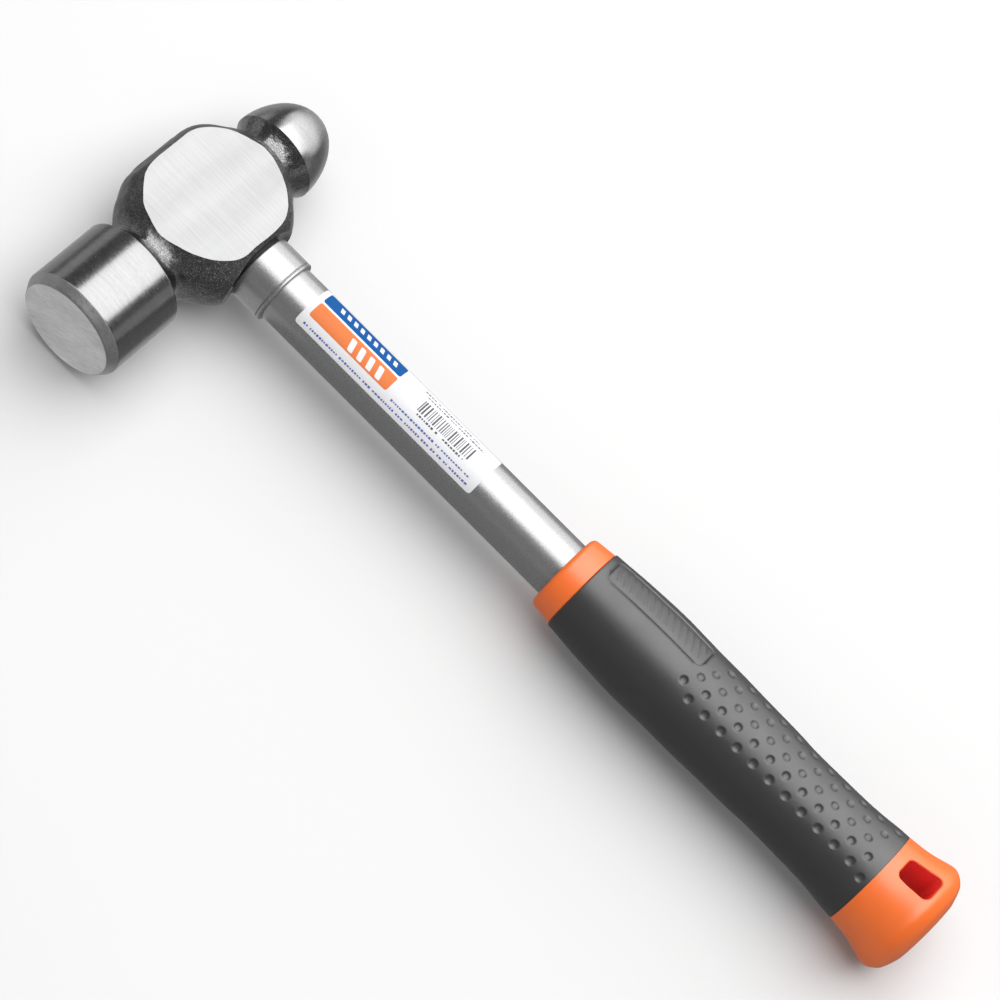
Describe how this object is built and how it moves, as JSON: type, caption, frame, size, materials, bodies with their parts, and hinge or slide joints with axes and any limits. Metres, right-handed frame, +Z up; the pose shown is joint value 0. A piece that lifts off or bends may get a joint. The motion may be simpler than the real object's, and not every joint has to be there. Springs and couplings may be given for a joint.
{
  "type": "ball peen hammer",
  "caption": "Ball peen hammer lying on its side: forged steel head with a flat face and a domed ball, tubular steel handle, two-colour moulded grip with a lanyard slot.",
  "frame": {"origin": "under the middle of the hammer's box, on the surface that it lies on", "axes": "+X along the handle from head to butt, +Y along the head from the striking face to the ball, +Z up, square to the ground cheeks"},
  "size_m": [0.3668, 0.1238, 0.044],
  "materials": {
    "forged_steel": "ground and brushed on the face, ball and cheeks, dark forged skin elsewhere",
    "handle_paint": "fine silver-grey metallic paint",
    "plug_steel": "ground",
    "plug_wood": "turned hardwood",
    "plug_plastic": "plain moulded",
    "label_film": "printed white film",
    "orange_plastic": "satin moulded plastic",
    "black_rubber": "matte moulded rubber with dimples"
  },
  "bodies": {
    "root": {"hammer_head": "forged_steel", "handle_tube": "handle_paint", "head_collar": "handle_paint", "eye_expander": "plug_steel", "damping_plug": "plug_wood", "tube_end_plug": "plug_plastic", "handle_label": "label_film", "grip_core": "orange_plastic", "grip_sleeve": "black_rubber"}
  },
  "joints": []
}
